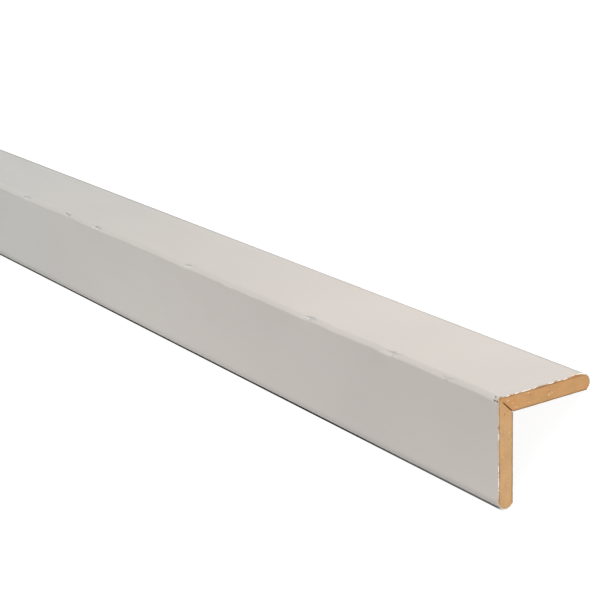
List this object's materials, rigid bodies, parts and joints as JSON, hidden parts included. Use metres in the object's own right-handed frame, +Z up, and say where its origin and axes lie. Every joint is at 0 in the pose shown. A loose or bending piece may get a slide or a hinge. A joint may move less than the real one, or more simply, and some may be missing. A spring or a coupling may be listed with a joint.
{
  "type": "corner guard moulding",
  "caption": "Straight L-section corner guard moulding: mitred fibreboard legs folded square under a white foil, with a rounded free edge on each leg, glued over a wall's outer corner.",
  "frame": {"origin": "on the floor, under the ridge, at the middle of the length", "axes": "+X along the moulding, towards the end that the picture shows; +Z up, through the ridge; +Y across, towards right_leg"},
  "size_m": [2.44, 0.0428, 0.0244],
  "materials": {
    "fibreboard": "bare medium density fibreboard, sanded on the faces and sawn on the ends",
    "white_foil": "smooth white foil with a low sheen, chipped at the saw cuts"
  },
  "bodies": {
    "root": {"left_leg": "fibreboard", "right_leg": "fibreboard", "foil_wrap": "white_foil"}
  },
  "joints": []
}
